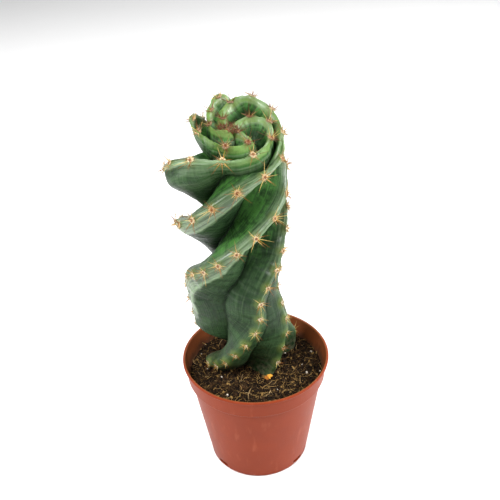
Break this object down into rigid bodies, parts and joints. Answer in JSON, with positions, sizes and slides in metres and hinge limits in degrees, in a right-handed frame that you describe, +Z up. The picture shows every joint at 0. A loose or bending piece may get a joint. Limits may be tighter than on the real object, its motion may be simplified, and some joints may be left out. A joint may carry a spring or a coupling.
{
  "type": "potted spiral cactus",
  "caption": "Columnar cactus with tall ribs twisted into a spiral, spiny along every crest, rooted in potting mix in a round tapered plastic nursery pot with a banded rim.",
  "frame": {"origin": "on the surface the pot stands on, in the middle of the whole object's outline seen from above; the pot's own axis is 2.75 mm along +X from it", "axes": "+Z up along the pot's axis and the column, -Y towards the side that the picture shows, +X to that side's right"},
  "size_m": [0.11, 0.105, 0.2815],
  "materials": {
    "pot_plastic": "terracotta-coloured satin moulded plastic",
    "potting_mix": "dark brown peat with fibres and white grit",
    "cactus_skin": "waxy blue-green skin, felted cream areoles and amber spines"
  },
  "bodies": {
    "root": {"pot": "pot_plastic", "soil": "potting_mix", "cactus": "cactus_skin"}
  },
  "joints": []
}
